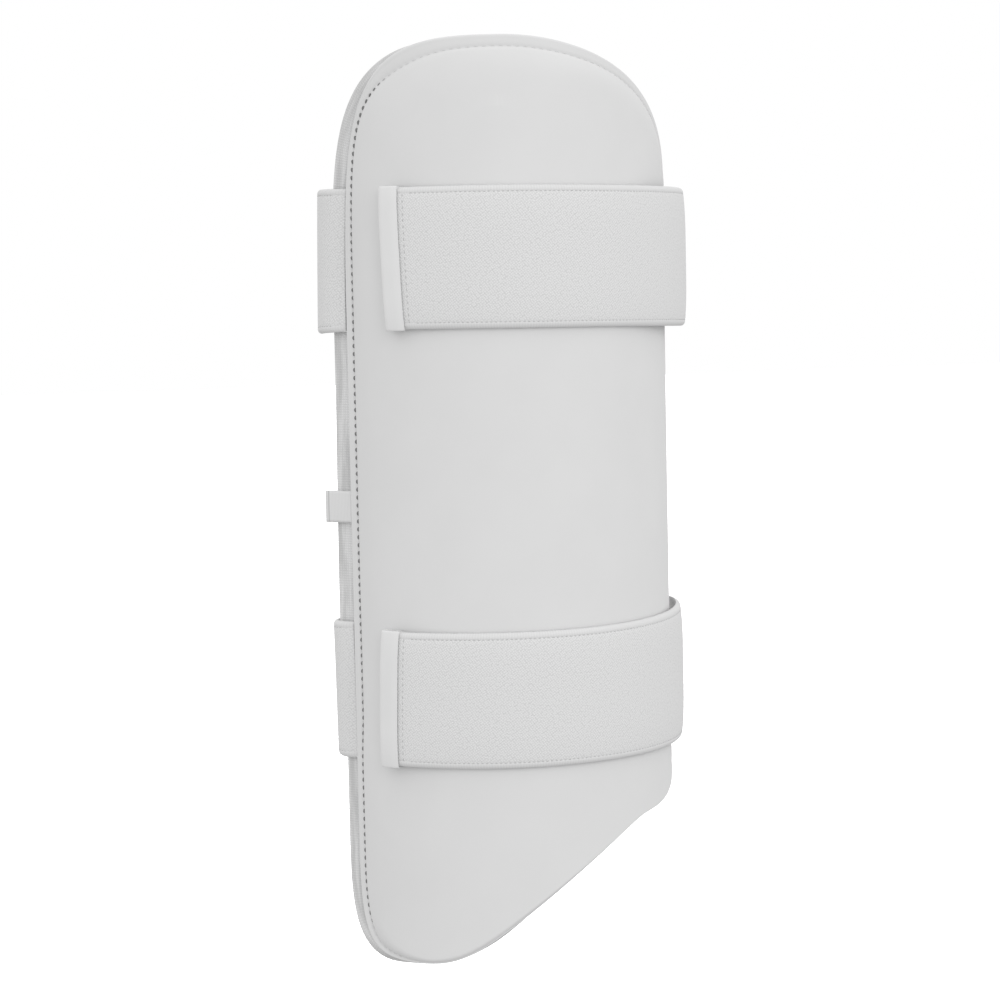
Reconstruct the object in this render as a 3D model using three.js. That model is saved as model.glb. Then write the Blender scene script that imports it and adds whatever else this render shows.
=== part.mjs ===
// Cricket thigh pad, shown as worn: a moulded face on a mesh covered backing, rolled round the thigh,
// with two elastic straps that leave the left seam, go round the thigh and lie across the face.
// Millimetres, Z up, the face looks along -Y. The origin is on the thigh's axis at half height.
import * as THREE from "three";

// Flat pattern of the face: s runs round the thigh from the middle of the pad, z runs up.
const ROLL_RADIUS = 74;
const HALF_WIDTH = 109;
const APEX_S = -24;
const APEX_Z = 199.5;
const SHOULDER_Z = 72;
const LEFT_POWER = 3.3;
const RIGHT_POWER = 1.95;
const TOE_POWER = 3.14;
const HEEL_POWER = 1.8;
const FOOT_Z = -147.2;
const TIP_S = -75.7;
const HEEL_S = 42;
const HEEL_Z = -102;

// The slanted lower edge is a plane cut, so it is a sine on the flat pattern, with a soft lowest point.
const CUT_MIDDLE_Z = -188.9;
const CUT_RISE = 59.1;
const CUT_TURN = 25.6;
const CUT_FLOOR_Z = -200.7;
const CUT_SOFT = 5.56;

// Layers, as heights above the backing's outer surface.
const BACKING_RADIUS = 69.5;
const BACKING_THICK = 11;
const LAYER_GAP = 0.3;
const FLARE = 2.5;
const FLARE_WIDTH = 16;
const FLARE_SLOPE = 0.6;

// How far the backing reaches past the face at the sides, at the middle and low on the left side, at the top
// and bottom, and the change at the toe.
const OUTSET_SIDE = 11.4;
const OUTSET_MIDDLE = 12.2;
const OUTSET_SWELL = { start: 60, end: -45 };
const OUTSET_LOW = 9.9;
const OUTSET_FALL = { start: -50, end: -85 };
const OUTSET_TOE = -0.9;
const OUTSET_TOP = -0.3;
const OUTSET_BOTTOM = 2.7;
const OUTSET_FADE = 0.5;
const OUTSET_SHOULDER = 1.3;

// Along the slanted cut the flange is slim and not flared. It narrows towards the tip and down the right
// side, between these places.
const SLIM_SHARE = 0.1;
const SLIM_S = { start: -127, end: -59.5 };
const SLIM_Z = { start: -92, end: -112 };
const FLARE_S = { start: -89, end: -41.5 };
const FLARE_Z = { start: -35, end: -115 };

// On the right the crown keeps its height nearer to the edge: its roll-off is narrower and the flange higher,
// by these shares. The flange narrows there too.
const RIGHT_S = { start: -60, end: 40 };
const RIGHT_CROWN = 0.45;
const RIGHT_RISE = 0.58;
const NARROW_S = { start: -10, end: 100 };
const NARROW_SHARE = 0.25;

// Sizes of the net.
const AROUND_HALF = 44;
const ACROSS = 10;
const DENSE = 240;

// Section of the face from its middle to its edge, and then back underneath.
// q: distance outward from the edge, h: height above the backing.
const CROWN_HEIGHT = 6;
const CROWN_Q = -30;
const GROOVE_Q = -5;
const FACE_TOP = [
  { q: -28, h: CROWN_HEIGHT },
  { q: -17, h: 5.3 },
  { q: -10, h: 3.9 },
  { q: -6.2, h: 2.8 },
  { q: GROOVE_Q, h: 2 },
  { q: -4.2, h: 2.4 },
  { q: -1, h: 2.4 },
  { q: 0, h: 1.4 },
];
const FACE_UNDER = [
  { q: -0.5, h: LAYER_GAP + 0.15 },
  { q: -5, h: LAYER_GAP + 0.15 },
  { q: -10, h: LAYER_GAP + 0.1 },
  { q: -11.5, h: LAYER_GAP },
];

// Rings of the backing from its middle to where its rounded rim begins, at most clear short of it.
const BACKING_RINGS = [
  { q: -11.5, clear: 0 },
  { q: -10, clear: 0 },
  { q: -5, clear: 0.4 },
  { q: 0, clear: 0.2 },
];
const RIM_STEPS = 5;

// Straps: z is the middle of the band, end and skew are the angle and lean of the free end, dip lowers the
// right side, and right and bend are the shares by which the band is wider there and where it bends round the
// left side, at the angle turn and up to reach from it. There the upper edge stands further out by cone. The
// edges curl towards the face, between two angles.
const STRAP_THICK = 2.3;
const STRAP_CURL = 1.1;
const CURL_ANGLE = { start: -200, end: -290 };
const STRAP_STEPS = 44;
const STRAP_SEAM = 0.6;
const STRAP_COLUMNS = [-1, -0.92, 0, 0.92, 1];
const UPPER_STRAP = {
  z: 106.15,
  width: 60.2,
  end: -54.8,
  skew: 2,
  dip: 0.5,
  right: 0.028,
  bend: { share: 0.062, turn: -112, reach: 40, cone: -0.6 },
};
const LOWER_STRAP = {
  z: -82.15,
  width: 58.4,
  end: -59.2,
  skew: -1.6,
  dip: -0.7,
  right: 0.045,
  bend: { share: 0.045, turn: -85, reach: 24, cone: 0.5 },
};

// Radius of each strap's inner side. The angle runs backwards from the left seam, round the back and
// the right side to the front.
const UPPER_PATH = [
  { angle: -85, radius: 72.8 },
  { angle: -88, radius: 75.4 },
  { angle: -91, radius: 77.2 },
  { angle: -95, radius: 77.9 },
  { angle: -111, radius: 76.5 },
  { angle: -145, radius: 80 },
  { angle: -180, radius: 84 },
  { angle: -215, radius: 86 },
  { angle: -250, radius: 85 },
  { angle: -291, radius: 82.1 },
  { angle: -312, radius: 78.8 },
  { angle: -330, radius: 76.4 },
  { angle: -350, radius: 75.9 },
  { angle: -375, radius: 75.9 },
  { angle: -400, radius: 76.2 },
  { angle: -430, radius: 78.6 },
];
const LOWER_PATH = [
  { angle: -84.8, radius: 72.5 },
  { angle: -88, radius: 74.6 },
  { angle: -91, radius: 75.8 },
  { angle: -95, radius: 75.1 },
  { angle: -111, radius: 69.8 },
  { angle: -145, radius: 75.5 },
  { angle: -180, radius: 83 },
  { angle: -215, radius: 87.5 },
  { angle: -250, radius: 86.5 },
  { angle: -291, radius: 78 },
  { angle: -312, radius: 76.1 },
  { angle: -330, radius: 75.9 },
  { angle: -350, radius: 75.9 },
  { angle: -375, radius: 75.9 },
  { angle: -400, radius: 76.2 },
  { angle: -430, radius: 78.6 },
];

// Pull tab folded over a strap's free end.
const TAB_LENGTH = 9.2;
const TAB_THICK = 5;
const TAB_SLOT_DEPTH = 5;
const TAB_SLOT_GAP = 0.5;
const TAB_EXTRA = 0.6;
const TAB_ROUND_STEPS = 6;

// Woven label sewn into the left seam.
const LABEL_Z = -1.5;
const LABEL_HEIGHT = 14;
const LABEL_LENGTH = 14.5;
const LABEL_THICK = 1.2;
const LABEL_STEPS = 6;

const rad = THREE.MathUtils.degToRad;
const lerp = THREE.MathUtils.lerp;

// Edge of the flat pattern.

function superArc(centre, reach, power, turn) {
  const a = Math.pow(Math.sin(turn), 2 / power);
  const b = Math.pow(Math.cos(turn), 2 / power);
  return new THREE.Vector2(centre.x + reach.x * a, centre.y + reach.y * b);
}

function cutHeight(s) {
  const slant = CUT_MIDDLE_Z + CUT_RISE * Math.sin(s / ROLL_RADIUS + rad(CUT_TURN));
  const half = (slant - CUT_FLOOR_Z) / 2;
  return CUT_FLOOR_Z + half + Math.hypot(half, CUT_SOFT);
}

function evenly(points, count) {
  const length = [0];
  points.slice(1).forEach((p, i) => length.push(length[i] + p.distanceTo(points[i])));
  const total = length[length.length - 1];
  let k = 0;
  return Array.from({ length: count + 1 }, (_, i) => {
    const want = (total * i) / count;
    while (k < points.length - 2 && length[k + 1] < want) k += 1;
    const part = (want - length[k]) / (length[k + 1] - length[k]);
    return points[k].clone().lerp(points[k + 1], Math.min(part, 1));
  });
}

function steps(count, make) {
  return Array.from({ length: count + 1 }, (_, i) => make(i / count));
}

function leftEdge() {
  const top = new THREE.Vector2(APEX_S, SHOULDER_Z);
  const reach = new THREE.Vector2(-HALF_WIDTH - APEX_S, APEX_Z - SHOULDER_Z);
  const foot = new THREE.Vector2(TIP_S, FOOT_Z);
  const toe = new THREE.Vector2(-HALF_WIDTH - TIP_S, cutHeight(TIP_S) - FOOT_Z);
  const dome = steps(DENSE, (t) => superArc(top, reach, LEFT_POWER, (t * Math.PI) / 2));
  const corner = steps(DENSE, (t) => superArc(foot, toe, TOE_POWER, ((1 - t) * Math.PI) / 2));
  return evenly([...dome, ...corner], AROUND_HALF);
}

function rightEdge() {
  const top = new THREE.Vector2(APEX_S, SHOULDER_Z);
  const reach = new THREE.Vector2(HALF_WIDTH - APEX_S, APEX_Z - SHOULDER_Z);
  const heel = new THREE.Vector2(HEEL_S, HEEL_Z);
  const turn = new THREE.Vector2(HALF_WIDTH - HEEL_S, cutHeight(HEEL_S) - HEEL_Z);
  const dome = steps(DENSE, (t) => superArc(top, reach, RIGHT_POWER, (t * Math.PI) / 2));
  const corner = steps(DENSE, (t) => superArc(heel, turn, HEEL_POWER, ((1 - t) * Math.PI) / 2));
  const cut = steps(DENSE, (t) => {
    const s = lerp(HEEL_S, TIP_S, t);
    return new THREE.Vector2(s, cutHeight(s));
  });
  return evenly([...dome, ...corner, ...cut.slice(1)], AROUND_HALF);
}

// The whole edge: down the left side from the apex to the tip, then up the right side.
function wholeEdge() {
  const left = leftEdge();
  const right = rightEdge();
  return [...left, ...right.slice(1, -1).reverse()];
}

function smooth(value, { start, end }) {
  const t = THREE.MathUtils.clamp((value - start) / (end - start), 0, 1);
  return t * t * (3 - 2 * t);
}

// Share of its full width that the flange has at a point of the edge.
function flangeShare(p) {
  return lerp(1, SLIM_SHARE, smooth(p.x, SLIM_S) * smooth(p.y, SLIM_Z));
}

const EDGE = wholeEdge();
const EDGE_COUNT = EDGE.length;
const EDGE_OUT = EDGE.map((_, i) => {
  const before = EDGE[(i + EDGE_COUNT - 1) % EDGE_COUNT];
  const after = EDGE[(i + 1) % EDGE_COUNT];
  const along = after.clone().sub(before).normalize();
  return new THREE.Vector2(along.y, -along.x);
});

// Rolling the pattern round the thigh.

function roll(s, z, radius) {
  const turn = s / ROLL_RADIUS;
  return new THREE.Vector3(radius * Math.sin(turn), -radius * Math.cos(turn), z);
}

function flareAt(q, out, edge) {
  const inside = Math.max(q + FLARE_WIDTH, 0) / FLARE_WIDTH;
  const height = q < 0 ? FLARE * inside * inside : FLARE + FLARE_SLOPE * q;
  const flat = smooth(edge.x, FLARE_S) * smooth(edge.y, FLARE_Z);
  return height * Math.pow(Math.abs(out.x), out.y > 0 ? 2 : 1) * (1 - flat);
}

function outsetAt(out, edge) {
  const left = out.x < 0;
  const leftPower = out.y > 0 ? OUTSET_SHOULDER : 1;
  const upper = lerp(OUTSET_SIDE, OUTSET_MIDDLE, smooth(edge.y, OUTSET_SWELL));
  const reach = left ? lerp(upper, OUTSET_LOW, smooth(edge.y, OUTSET_FALL)) : OUTSET_SIDE;
  const side = reach * Math.pow(Math.abs(out.x), left ? leftPower : 3);
  const fade = THREE.MathUtils.clamp(1 - out.x / OUTSET_FADE, 0, 1);
  const end = out.y > 0 ? OUTSET_TOP : OUTSET_BOTTOM * fade;
  const toe = left && out.y < 0 ? OUTSET_TOE * 2 * out.x * out.y : 0;
  return side + end * out.y * out.y + toe;
}

// Solids made of closed rings that follow the edge, closed by chords from side to side.

class RingSolid {
  constructor() {
    this.points = [];
    this.faces = [];
  }

  ring(place) {
    const start = this.points.length;
    const flat = EDGE.map((edge, i) => {
      const { q, h } = place(EDGE_OUT[i], edge);
      const at = edge.clone().addScaledVector(EDGE_OUT[i], q);
      const radius = BACKING_RADIUS + h + flareAt(q, EDGE_OUT[i], edge);
      this.points.push(roll(at.x, at.y, radius));
      return { at, radius };
    });
    return { start, flat };
  }

  band(a, b) {
    for (let i = 0; i < EDGE_COUNT; i += 1) {
      const j = (i + 1) % EDGE_COUNT;
      this.faces.push(a.start + i, b.start + i, b.start + j);
      this.faces.push(a.start + i, b.start + j, a.start + j);
    }
  }

  cap(ring, outward) {
    const row = (j) => {
      const right = (EDGE_COUNT - j) % EDGE_COUNT;
      if (j === 0 || j === AROUND_HALF) return Array(ACROSS + 1).fill(ring.start + j);
      const from = ring.flat[j];
      const to = ring.flat[right];
      const middle = steps(ACROSS, (t) => t).slice(1, -1).map((t) => {
        const at = from.at.clone().lerp(to.at, t);
        this.points.push(roll(at.x, at.y, lerp(from.radius, to.radius, t)));
        return this.points.length - 1;
      });
      return [ring.start + j, ...middle, ring.start + right];
    };
    const rows = steps(AROUND_HALF, (t) => Math.round(t * AROUND_HALF)).map(row);
    for (let j = 0; j < AROUND_HALF; j += 1) {
      for (let k = 0; k < ACROSS; k += 1) {
        this.quad(rows[j][k], rows[j + 1][k], rows[j + 1][k + 1], rows[j][k + 1], outward);
      }
    }
  }

  quad(a, b, c, d, outward) {
    const add = (u, v, w) => {
      if (u === v || v === w || w === u) return;
      this.faces.push(...(outward ? [u, v, w] : [u, w, v]));
    };
    add(a, b, c);
    add(a, c, d);
  }

  close(rings) {
    rings.slice(1).forEach((ring, i) => this.band(rings[i], ring));
    this.cap(rings[0], true);
    this.cap(rings[rings.length - 1], false);
    return toGeometry(this.points, this.faces);
  }
}

function toGeometry(points, faces) {
  const geometry = new THREE.BufferGeometry();
  geometry.setAttribute("position", new THREE.Float32BufferAttribute(points.flatMap((p) => p.toArray()), 3));
  geometry.setIndex(faces);
  geometry.computeVertexNormals();
  return geometry;
}

// Place of a row of the face's section at a point of the edge.
function faceRow({ q, h }, edge) {
  const right = smooth(edge.x, RIGHT_S);
  const crown = Math.min(q - GROOVE_Q, 0) * lerp(1, RIGHT_CROWN, right);
  const flange = Math.max(q, GROOVE_Q) * lerp(1, NARROW_SHARE, smooth(edge.x, NARROW_S));
  return {
    q: (flange + crown) * flangeShare(edge),
    h: lerp(h, CROWN_HEIGHT, RIGHT_RISE * right),
  };
}

function faceShell() {
  const solid = new RingSolid();
  const middle = solid.ring((out, edge) => ({ q: CROWN_Q * flangeShare(edge), h: CROWN_HEIGHT }));
  const top = FACE_TOP.map((row) => solid.ring((out, edge) => faceRow(row, edge)));
  const under = FACE_UNDER.map((row) => solid.ring(() => row));
  return solid.close([middle, ...top, ...under]);
}

function backingPad() {
  const solid = new RingSolid();
  const half = BACKING_THICK / 2;
  const sheet = (h) => (row) =>
    solid.ring((out, edge) => ({ q: Math.min(row.q, outsetAt(out, edge) - half - row.clear), h }));
  const outer = BACKING_RINGS.map(sheet(0));
  const rim = steps(RIM_STEPS, (t) =>
    solid.ring((out, edge) => {
      const turn = lerp(Math.PI / 2, -Math.PI / 2, t);
      return { q: outsetAt(out, edge) - half + half * Math.cos(turn), h: -half + half * Math.sin(turn) };
    }),
  );
  const inner = BACKING_RINGS.map(sheet(-BACKING_THICK)).reverse();
  return solid.close([...outer, ...rim, ...inner]);
}

// Bands that are swept along a path: each section is a closed row of points, and the two ends are closed.

function endFacesOf(section) {
  const faces = THREE.ShapeUtils.triangulateShape(section, []);
  return THREE.ShapeUtils.isClockWise(section) ? faces.map(([a, b, c]) => [a, c, b]) : faces;
}

function sweep(sections, endFaces) {
  const count = sections[0].length;
  const points = sections.flat();
  const faces = [];
  for (let i = 0; i + 1 < sections.length; i += 1) {
    for (let k = 0; k < count; k += 1) {
      const a = i * count + k;
      const b = i * count + ((k + 1) % count);
      faces.push(a, b, b + count, a, b + count, a + count);
    }
  }
  const last = (sections.length - 1) * count;
  endFaces.forEach(([a, b, c]) => faces.push(a, c, b, last + a, last + b, last + c));
  return toGeometry(points, faces);
}

// Value of a table between its rows, on a curve that passes through them without waves.
function readPath(path, angle) {
  const i = Math.max(0, path.findIndex((row, k) => k + 1 < path.length && path[k + 1].angle <= angle));
  const slope = (k) => {
    const before = path[Math.max(k - 1, 0)];
    const after = path[Math.min(k + 1, path.length - 1)];
    return (after.radius - before.radius) / (after.angle - before.angle);
  };
  const from = path[i];
  const to = path[i + 1];
  const width = to.angle - from.angle;
  const t = (angle - from.angle) / width;
  const ease = t * t * (3 - 2 * t);
  const bend = t * (1 - t) * width * (slope(i) * (1 - t) - slope(i + 1) * t);
  return lerp(from.radius, to.radius, ease) + bend;
}

function polar(angle, radius, z) {
  return new THREE.Vector3(radius * Math.sin(rad(angle)), -radius * Math.cos(rad(angle)), z);
}

function curlAt(column, angle) {
  return STRAP_CURL * (1 - Math.pow(Math.abs(column), 4) * smooth(angle, CURL_ANGLE));
}

// Angle by which the free end leans at a height, given as a share of the half width.
function leanAt(strap, column) {
  const shift = -Math.tan(rad(strap.skew)) * column * strap.width * 0.5;
  return THREE.MathUtils.radToDeg(shift / ROLL_RADIUS);
}

// How near an angle is to the bend round the left side, from 0 to 1.
function bendAt({ turn, reach }, angle) {
  return Math.max(1 - Math.pow((angle - turn) / reach, 2), 0);
}

// Height of a strap at a share of its half width. The band is wider at the right and at its bend.
function bandHeight(strap, column, angle) {
  const turn = Math.sin(rad(angle));
  const right = Math.max(turn, 0);
  const share = 1 + strap.right * right * right + strap.bend.share * bendAt(strap.bend, angle);
  return strap.z - strap.dip * turn + column * strap.width * 0.5 * share;
}

// Angle of the left seam at a height, measured from the seam's straight stretch.
function seamShift(z) {
  const i = EDGE.findIndex((p) => p.y <= z);
  const s = lerp(EDGE[i].x, EDGE[i - 1].x, (z - EDGE[i].y) / (EDGE[i - 1].y - EDGE[i].y));
  return THREE.MathUtils.radToDeg((s + HALF_WIDTH) / ROLL_RADIUS);
}

function strapBand(strap, path) {
  const first = path[0].angle;
  const last = strap.end - 360;
  const crowd = (t) => lerp(t, t * t, 0.45);
  const sections = steps(STRAP_STEPS, (t) => {
    const station = (column, side) => {
      const lean = leanAt(strap, column) * Math.max(0, (t - 0.8) / 0.2);
      const along = lerp(first, last, crowd(t)) + lean;
      const z = bandHeight(strap, column, along);
      const angle = along + seamShift(z) * Math.max(0, 1 - t / 0.35);
      const edge = Math.abs(column) === 1 ? 0.25 : 0.5;
      const cone = strap.bend.cone * column * bendAt(strap.bend, along);
      const middle = readPath(path, along) + curlAt(column, along) + cone + STRAP_THICK / 2;
      return polar(angle, middle + side * edge * STRAP_THICK, z);
    };
    const outer = STRAP_COLUMNS.map((column) => station(column, 1));
    const inner = STRAP_COLUMNS.map((column) => station(column, -1));
    return [...outer, ...inner.reverse()];
  });
  const count = STRAP_COLUMNS.length;
  const ends = [];
  for (let k = 0; k + 1 < count; k += 1) {
    const across = 2 * count - 1 - k;
    ends.push([k, k + 1, across - 1], [k, across - 1, across]);
  }
  return sweep(sections, ends);
}

// Section of a tab: u runs from the open side of its slot to its rounded end, v is outward.
function tabSection() {
  const half = TAB_THICK / 2;
  const slot = STRAP_THICK / 2 + TAB_SLOT_GAP;
  const nose = TAB_LENGTH - half;
  const round = steps(TAB_ROUND_STEPS, (t) => {
    const turn = lerp(Math.PI / 2, -Math.PI / 2, t);
    return new THREE.Vector2(nose + half * Math.cos(turn), half * Math.sin(turn));
  });
  return [
    new THREE.Vector2(TAB_SLOT_DEPTH, slot),
    new THREE.Vector2(0, slot),
    new THREE.Vector2(0.4, half),
    ...round,
    new THREE.Vector2(0.4, -half),
    new THREE.Vector2(0, -slot),
    new THREE.Vector2(TAB_SLOT_DEPTH, -slot),
  ];
}

function strapTab(strap, path) {
  const section = tabSection();
  const degreesPerMm = THREE.MathUtils.radToDeg(1 / ROLL_RADIUS);
  const columns = [...STRAP_COLUMNS].reverse();
  const reach = 1 + (2 * TAB_EXTRA) / strap.width;
  const sections = columns.map((column) =>
    section.map((p) => {
      const start = strap.end + (TAB_SLOT_DEPTH - 0.6) * degreesPerMm;
      const angle = start + leanAt(strap, column) - p.x * degreesPerMm;
      const middle = readPath(path, angle - 360) + curlAt(column, angle - 360) + STRAP_THICK / 2;
      return polar(angle, middle + p.y, bandHeight(strap, column * reach, angle - 360));
    }),
  );
  return sweep(sections, endFacesOf(section));
}

// The label leaves the seam along the slope of the flared rim and stands straight out.
function labelTab() {
  const left = Math.round(AROUND_HALF / 2);
  const start = -HALF_WIDTH - STRAP_SEAM;
  const tilt = Math.atan(FLARE_SLOPE);
  const flare = flareAt(STRAP_SEAM, EDGE_OUT[left], EDGE[left]);
  const base = roll(start, 0, BACKING_RADIUS + flare + LAYER_GAP);
  const turn = start / ROLL_RADIUS;
  const outward = new THREE.Vector3(Math.sin(turn), -Math.cos(turn), 0);
  const backward = new THREE.Vector3(-Math.cos(turn), -Math.sin(turn), 0);
  const along = backward.clone().multiplyScalar(Math.cos(tilt)).addScaledVector(outward, Math.sin(tilt));
  const up = outward.clone().multiplyScalar(Math.cos(tilt)).addScaledVector(backward, -Math.sin(tilt));
  const half = LABEL_THICK / 2;
  const round = steps(LABEL_STEPS, (t) => {
    const a = lerp(Math.PI / 2, -Math.PI / 2, t);
    return new THREE.Vector2(LABEL_LENGTH - half + half * Math.cos(a), half + half * Math.sin(a));
  });
  const section = [new THREE.Vector2(0, LABEL_THICK), ...round, new THREE.Vector2(0, 0)];
  const sections = [0.5, -0.5].map((side) =>
    section.map((p) => {
      const at = base.clone().addScaledVector(along, p.x).addScaledVector(up, p.y);
      at.z = LABEL_Z + side * LABEL_HEIGHT;
      return at;
    }),
  );
  return sweep(sections, endFacesOf(section));
}

// Pieces.

const MOULDED_PU = new THREE.MeshStandardMaterial({ name: "moulded_pu_foam", color: 0xe4e4e2, roughness: 0.55 });
const MESH_FABRIC = new THREE.MeshStandardMaterial({ name: "polyester_mesh", color: 0xcfced2, roughness: 0.9 });
const ELASTIC = new THREE.MeshStandardMaterial({ name: "woven_elastic", color: 0xe2e2e0, roughness: 0.85 });
const TAB_FILM = new THREE.MeshStandardMaterial({ name: "pu_film", color: 0xe8e8e6, roughness: 0.5 });
const SATIN = new THREE.MeshStandardMaterial({ name: "woven_satin", color: 0xe6e6e6, roughness: 0.7 });

function piece(name, geometry, material) {
  const mesh = new THREE.Mesh(geometry, material);
  mesh.name = name;
  return mesh;
}

const group = new THREE.Group();
group.name = "thigh_pad";
group.add(
  piece("face_shell", faceShell(), MOULDED_PU),
  piece("backing_pad", backingPad(), MESH_FABRIC),
  piece("upper_strap", strapBand(UPPER_STRAP, UPPER_PATH), ELASTIC),
  piece("upper_strap_tab", strapTab(UPPER_STRAP, UPPER_PATH), TAB_FILM),
  piece("lower_strap", strapBand(LOWER_STRAP, LOWER_PATH), ELASTIC),
  piece("lower_strap_tab", strapTab(LOWER_STRAP, LOWER_PATH), TAB_FILM),
  piece("label_tab", labelTab(), SATIN),
);

export default group;
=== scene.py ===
"""Cricket thigh pad: a moulded PU face on a mesh covered foam backing, held by two woven elastic straps.

Every piece is worked out in millimetres from the pad's flat pattern, rolled round the thigh, and put into
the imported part's frame in metres. The face looks along -Y and Z is up.
"""

import math

import bpy
import numpy as np
from mathutils import Matrix


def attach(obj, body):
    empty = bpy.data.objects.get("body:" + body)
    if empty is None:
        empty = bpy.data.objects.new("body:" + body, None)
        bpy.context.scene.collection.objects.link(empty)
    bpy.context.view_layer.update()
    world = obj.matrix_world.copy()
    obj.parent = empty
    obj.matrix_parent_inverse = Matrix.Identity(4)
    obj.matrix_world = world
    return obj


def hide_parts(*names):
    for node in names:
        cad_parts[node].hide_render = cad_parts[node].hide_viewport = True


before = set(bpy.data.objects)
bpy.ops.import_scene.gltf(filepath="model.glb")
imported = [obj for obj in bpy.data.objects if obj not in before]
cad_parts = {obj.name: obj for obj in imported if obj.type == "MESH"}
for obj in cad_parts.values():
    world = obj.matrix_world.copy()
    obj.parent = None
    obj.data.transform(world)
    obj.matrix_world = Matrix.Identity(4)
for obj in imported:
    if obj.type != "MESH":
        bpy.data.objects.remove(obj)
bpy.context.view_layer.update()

MM = 0.001
CLOTH = "cloth_mm"

# Flat pattern of the face: s runs round the thigh from the middle of the pad, z runs up. The bend where the
# heel meets the slanted edge is eased.
ROLL_RADIUS = 74.0
HALF_WIDTH = 109.0
APEX_S = -24.0
APEX_Z = 199.5
SHOULDER_Z = 72.0
LEFT_POWER = 3.3
RIGHT_POWER = 1.95
TOE_POWER = 3.14
HEEL_POWER = 1.8
FOOT_Z = -147.2
TIP_S = -75.7
HEEL_S = 42.0
HEEL_Z = -102.0
HEEL_EASE = 5.0

# The slanted lower edge is a plane cut, so it is a sine on the flat pattern, with a soft lowest point.
CUT_MIDDLE_Z = -188.9
CUT_RISE = 59.1
CUT_TURN = math.radians(25.6)
CUT_FLOOR_Z = -200.7
CUT_SOFT = 5.56

# Layers, as heights above the backing's outer surface, and their places as distances inside the edge.
BACKING_RADIUS = 69.5
BACKING_THICK = 11.0
FLARE = 2.5
FLARE_WIDTH = 16.0
FLARE_SLOPE = 0.6
CROWN_HEIGHT = 6.0
CROWN_Q = 30.0
CROWN_EDGE = 28.0
CROWN_POWER = 3.0
UNDER_EDGE = 11.5
FLANGE_HEIGHT = 2.4
FLANGE_ROUND = 1.0
FLANGE_LIP_Q = 0.12
FLANGE_LIP_HEIGHT = 0.8
FLANGE_UNDER = 0.45
FACE_UNDER = 0.3

# The sewn groove, with the shares of its depth that come on the left, at the toe, beside the straps and
# under each stitch. The seam takes the top left corner in a wider sweep and ends where the flange is slim.
# Then the crease near the edge.
GROOVE_Q = 5.0
GROOVE_WIDTH = 0.75
GROOVE_DEPTH = 0.55
LEFT_GROOVE = 0.3
TOE_GROOVE = 2.6
TOE_DOWN = (0.2, 0.6)
STRAP_GROOVE = 0.9
STITCH_DIP = 0.25
SEAM_SWEEP = 0.4
SEAM_END = 0.8
CREASE_Q = 1.7
CREASE_WIDTH = 0.35
CREASE_DEPTH = 0.12

# How far the backing reaches past the face at the sides, at the middle and low on the left side, at the top
# and bottom, and the change at the toe. The bottom's reach fades out to the right, and the left shoulder's
# follows a power of the edge's direction.
OUTSET_SIDE = 11.4
OUTSET_MIDDLE = 12.2
OUTSET_SWELL = (60.0, -45.0)
OUTSET_LOW = 9.9
OUTSET_FALL = (-50.0, -85.0)
OUTSET_TOE = -0.9
OUTSET_TOP = -0.3
OUTSET_BOTTOM = 2.7
OUTSET_FADE = 0.5
OUTSET_SHOULDER = 1.3

# Along the slanted cut the flange is slim and not flared. It narrows towards the tip and down the right
# side, between these places.
SLIM_SHARE = 0.1
SLIM_S = (-127.0, -59.5)
SLIM_Z = (-92.0, -112.0)
FLARE_S = (-89.0, -41.5)
FLARE_Z = (-35.0, -115.0)

# On the right the crown keeps its height nearer to the edge: its roll-off and the flange narrow to these
# shares. The flange rises towards the crown's height on the right, at the top and along the slant.
RIGHT_S = (-60.0, 40.0)
RIGHT_CROWN = 0.45
NARROW_S = (-10.0, 100.0)
NARROW_SHARE = 0.25
RIGHT_RISE = 0.58
TOP_RISE = 0.45
SLIM_RISE = 0.6

# Net of the pad: points on each half of the edge, faces across the pad, points on each curve of the pattern
# before the edge is divided evenly, rings on the roll-off, and the rings' distances inside the edge on the
# flange, under the face and on the backing, with how far these last stay short of the rim.
HALF_COUNT = 520
ACROSS = 24
DENSE = 2400
ROLL_RINGS = 25
FLANGE_RINGS = (5.5, 5.25, 5.0, 4.75, 4.5, 4.1, 3.5, 2.6, 2.1, 1.9, 1.7, 1.5, 1.2)
UNDER_RINGS = (0.5, 5.0, 10.0, UNDER_EDGE)
BACKING_RINGS = (UNDER_EDGE, 10.0, 5.0, 0.0)
BACKING_CLEAR = (0.0, 0.0, 0.4, 0.2)
RIM_STEPS = 20

# Straps: z is the middle of the band, end and skew are the angle and lean of the free end, dip lowers the
# right side, and right and bend are the shares by which the band is wider there and where it bends round
# the left side, at the angle turn and up to reach from it. There the upper edge stands further out by cone.
UPPER_STRAP = {
    "z": 106.15, "width": 60.2, "end": -54.8, "skew": 2.0, "dip": 0.5, "right": 0.028,
    "bend": 0.062, "turn": -112.0, "reach": 40.0, "cone": -0.6,
}
LOWER_STRAP = {
    "z": -82.15, "width": 58.4, "end": -59.2, "skew": -1.6, "dip": -0.7, "right": 0.045,
    "bend": 0.045, "turn": -85.0, "reach": 24.0, "cone": 0.5,
}

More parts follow.
